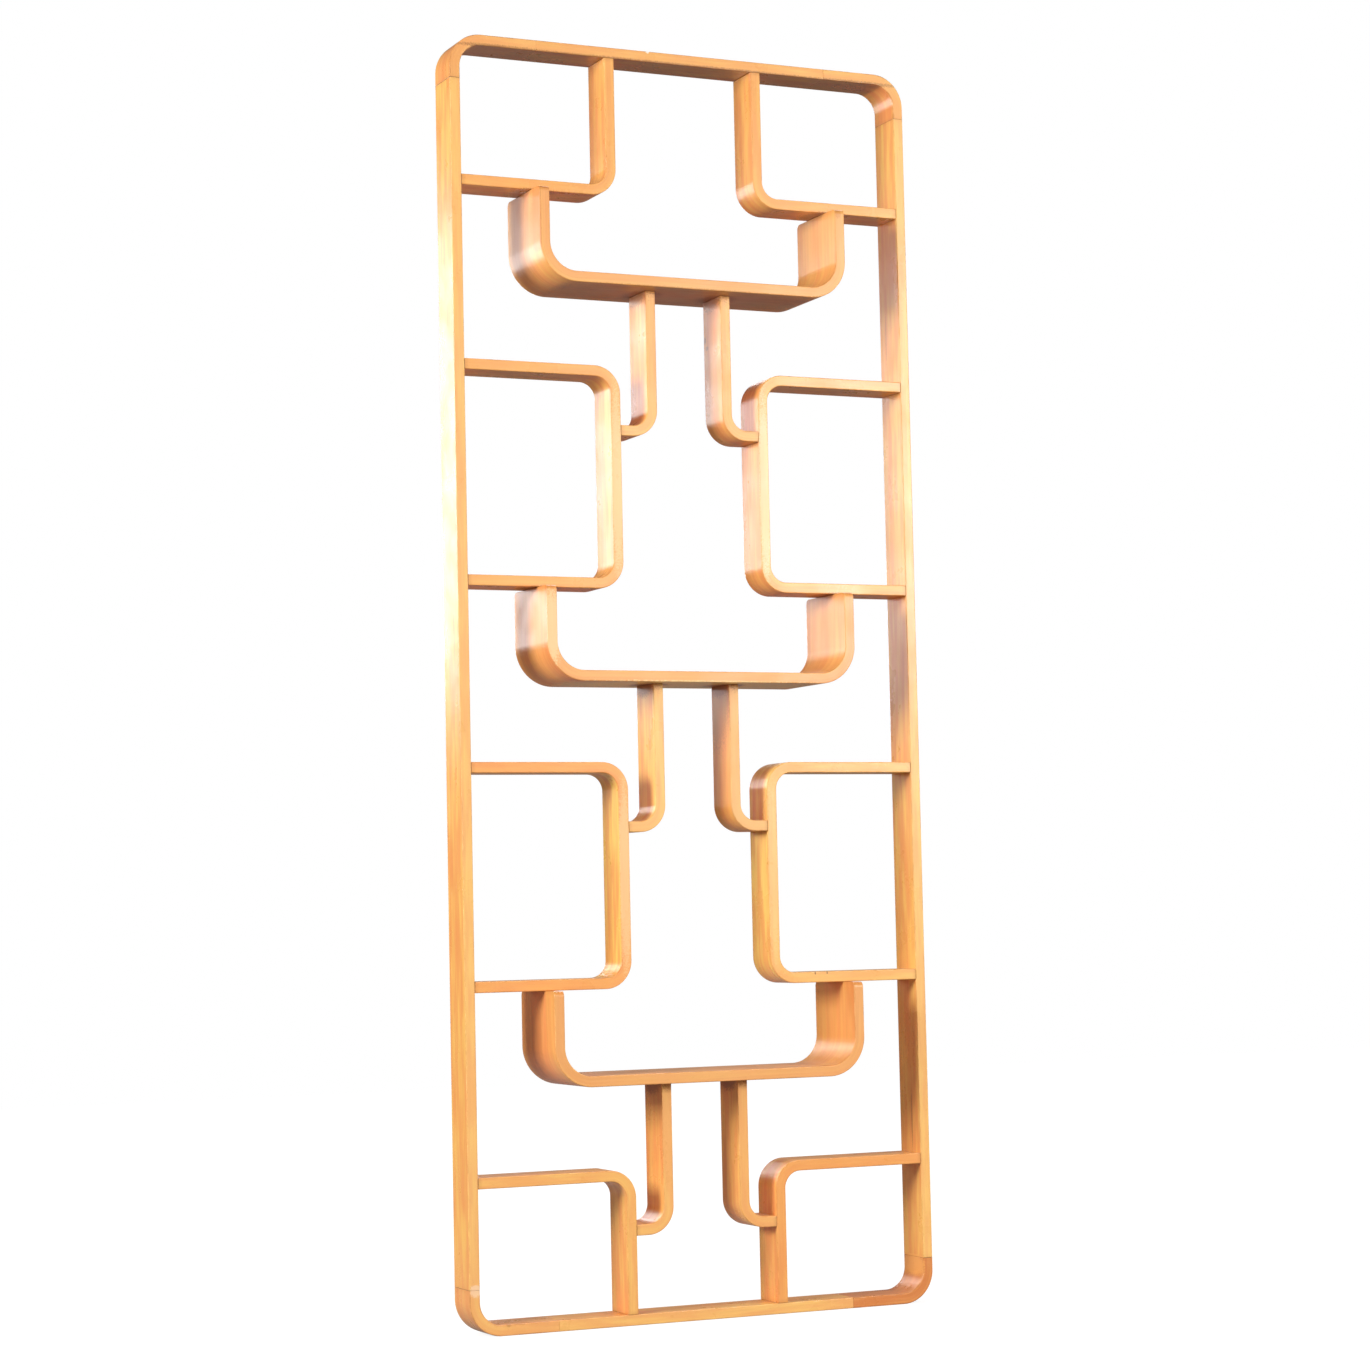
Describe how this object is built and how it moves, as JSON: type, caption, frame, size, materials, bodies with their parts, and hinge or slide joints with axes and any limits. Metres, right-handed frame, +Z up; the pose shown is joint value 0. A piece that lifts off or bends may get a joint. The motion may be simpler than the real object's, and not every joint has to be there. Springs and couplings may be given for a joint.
{
  "type": "room divider",
  "caption": "Upright see-through screen of bent laminated wood: a round-cornered frame filled with brackets, loops, deep shelf trays and small hooks.",
  "frame": {"origin": "on the floor, below the middle of the screen, at half its depth", "axes": "+Z up, +X to the right as seen from the front, the front towards -Y"},
  "size_m": [0.85, 0.146, 2.14],
  "materials": {
    "stile_wood": "clear satin lacquer over straight-grained laminate",
    "rail_wood": "clear satin lacquer over straight-grained laminate",
    "corner_wood": "clear satin lacquer over bent laminate",
    "bracket_wood": "clear satin lacquer over bent laminate",
    "loop_wood": "clear satin lacquer over bent laminate",
    "tray_wood": "clear satin lacquer over bent laminate",
    "hook_wood": "clear satin lacquer over bent laminate",
    "dowel_wood": "bare wood, glued"
  },
  "bodies": {
    "root": {"stile_left": "stile_wood", "stile_right": "stile_wood", "rail_top": "rail_wood", "rail_bottom": "rail_wood", "corner_top_left": "corner_wood", "corner_top_right": "corner_wood", "corner_bottom_left": "corner_wood", "corner_bottom_right": "corner_wood", "bracket_top_left": "bracket_wood", "bracket_top_right": "bracket_wood", "bracket_bottom_left": "bracket_wood", "bracket_bottom_right": "bracket_wood", "loop_upper_left": "loop_wood", "loop_upper_right": "loop_wood", "loop_lower_left": "loop_wood", "loop_lower_right": "loop_wood", "tray_upper": "tray_wood", "tray_middle": "tray_wood", "tray_lower": "tray_wood", "hook_upper_left": "hook_wood", "hook_upper_right": "hook_wood", "hook_middle_left": "hook_wood", "hook_middle_right": "hook_wood", "hook_lower_left": "hook_wood", "hook_lower_right": "hook_wood", "dowel_rail_top_left": "dowel_wood", "dowel_rail_top_right": "dowel_wood", "dowel_rail_bottom_left": "dowel_wood", "dowel_rail_bottom_right": "dowel_wood", "dowel_stile_1_left": "dowel_wood", "dowel_stile_2_left": "dowel_wood", "dowel_stile_3_left": "dowel_wood", "dowel_stile_4_left": "dowel_wood", "dowel_stile_5_left": "dowel_wood", "dowel_stile_6_left": "dowel_wood", "dowel_stile_1_right": "dowel_wood", "dowel_stile_2_right": "dowel_wood", "dowel_stile_3_right": "dowel_wood", "dowel_stile_4_right": "dowel_wood", "dowel_stile_5_right": "dowel_wood", "dowel_stile_6_right": "dowel_wood", "dowel_tray_upper_left": "dowel_wood", "dowel_tray_middle_left": "dowel_wood", "dowel_tray_lower_left": "dowel_wood", "dowel_tray_upper_right": "dowel_wood", "dowel_tray_middle_right": "dowel_wood", "dowel_tray_lower_right": "dowel_wood", "dowel_hook_upper_left": "dowel_wood", "dowel_hook_middle_left": "dowel_wood", "dowel_hook_lower_left": "dowel_wood", "dowel_hook_upper_right": "dowel_wood", "dowel_hook_middle_right": "dowel_wood", "dowel_hook_lower_right": "dowel_wood", "dowel_foot_upper_left": "dowel_wood", "dowel_foot_middle_left": "dowel_wood", "dowel_foot_lower_left": "dowel_wood", "dowel_foot_upper_right": "dowel_wood", "dowel_foot_middle_right": "dowel_wood", "dowel_foot_lower_right": "dowel_wood"}
  },
  "joints": []
}
